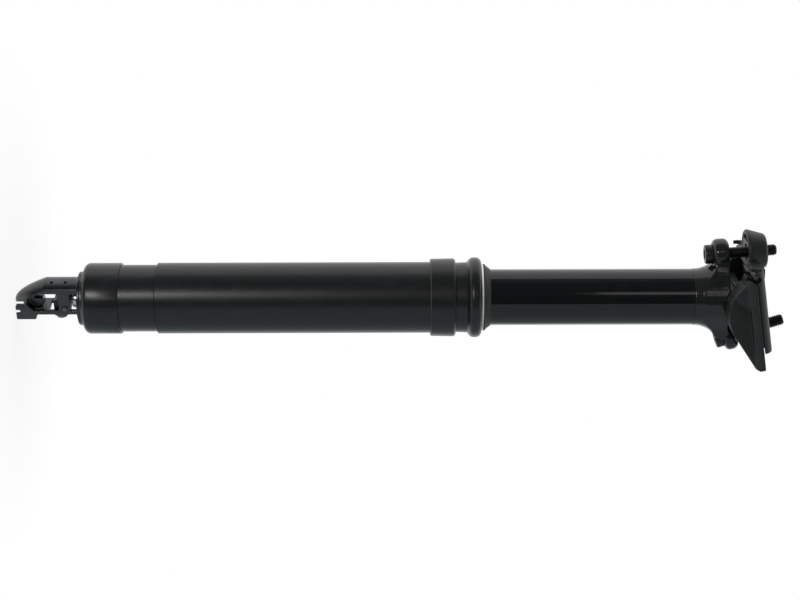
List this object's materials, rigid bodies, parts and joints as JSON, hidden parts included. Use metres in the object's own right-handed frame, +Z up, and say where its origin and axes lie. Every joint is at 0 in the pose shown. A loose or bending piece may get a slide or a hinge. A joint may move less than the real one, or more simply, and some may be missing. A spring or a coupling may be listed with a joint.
{
  "type": "dropper seatpost",
  "caption": "Telescopic bicycle seatpost: black outer tube, sliding stanchion, saddle rail clamp on socket bolts, and a foot bracket with a cable lever that opens the gas cartridge.",
  "frame": {"origin": "on the post's axis at the underside of the stop ring, where the frame's seat tube ends", "axes": "+Z up the post towards the saddle, +X to the front of the bicycle, +Y to its left"},
  "size_m": [0.0573, 0.0534, 0.3442],
  "materials": {
    "tube_black": "satin black anodised",
    "stanchion_black": "glossy hard anodised",
    "head_black": "glossy black",
    "clamp_grey": "satin dark grey",
    "bolt_black": "black oxide",
    "steel_bright": "bright",
    "screw_olive": "dull zinc",
    "wiper_rubber": "matte",
    "bush_polymer": "matte",
    "key_brass": "machined",
    "cartridge_metal": "satin"
  },
  "bodies": {
    "lower": {"outer_tube": "tube_black", "base_cap": "tube_black", "collar_nut": "tube_black", "upper_bushing": "bush_polymer", "wiper_ring": "steel_bright", "wiper_seal": "wiper_rubber", "base_washer": "steel_bright", "actuator_bracket": "clamp_grey", "rod_nut": "steel_bright", "lever_pin": "steel_bright", "cartridge_rod": "steel_bright", "main_piston": "cartridge_metal"},
    "inner": {"stanchion": "stanchion_black", "lower_bushing": "bush_polymer", "guide_keys": "key_brass", "head": "head_black", "cartridge_body": "cartridge_metal", "cartridge_gland": "cartridge_metal", "cartridge_bolt": "steel_bright", "front_bolt": "bolt_black", "rear_bolt": "bolt_black"},
    "clamp": {"lower_cradle": "clamp_grey", "upper_clamp": "clamp_grey"},
    "front_nut": {"front_nut": "bolt_black"},
    "rear_nut": {"rear_nut": "bolt_black"},
    "floating_piston": {"floating_piston": "cartridge_metal"},
    "lever": {"actuator_lever": "clamp_grey", "cable_screw": "screw_olive"},
    "valve_pin": {"valve_pin": "steel_bright"}
  },
  "joints": [
    {"name": "travel", "type": "slide", "parent": "lower", "child": "inner", "axis": [0, 0, 1], "range_m": [-0.08, 0], "stiffness_N_per_m": 1000, "springref_m": 0.15},
    {"name": "clamp_tilt", "type": "hinge", "parent": "inner", "child": "clamp", "pos_m": [-0.00117, 0, 0.14703], "axis": [0, -1, 0], "range_deg": [-3, 3]},
    {"name": "front_nut_slide", "type": "slide", "parent": "inner", "child": "front_nut", "axis": [0.0698, 0, 0.9976], "range_m": [-0.00119, 0.00119]},
    {"name": "rear_nut_slide", "type": "slide", "parent": "inner", "child": "rear_nut", "axis": [0.3007, 0, 0.9537], "range_m": [-0.00066, 0.00066]},
    {"name": "floating_piston_slide", "type": "slide", "parent": "inner", "child": "floating_piston", "axis": [0, 0, 1], "range_m": [0, 0.02353]},
    {"name": "valve_pin_slide", "type": "slide", "parent": "lower", "child": "valve_pin", "axis": [0, 0, 1], "range_m": [0, 0.000768], "stiffness_N_per_m": 2000, "springref_m": -0.005},
    {"name": "lever", "type": "hinge", "parent": "lower", "child": "lever", "pos_m": [-0.00214, -0.00053, -0.1626], "axis": [0.2419, -0.9703, 0], "range_deg": [0, 20.05]}
  ],
  "couplings": [
    {"joint": "front_nut_slide", "follows": "clamp_tilt", "m_per_rad": 0.022435},
    {"joint": "rear_nut_slide", "follows": "clamp_tilt", "m_per_rad": -0.012375},
    {"joint": "floating_piston_slide", "follows": "travel", "ratio": -0.29395},
    {"joint": "lever", "follows": "valve_pin_slide", "rad_per_m": 454.55}
  ]
}
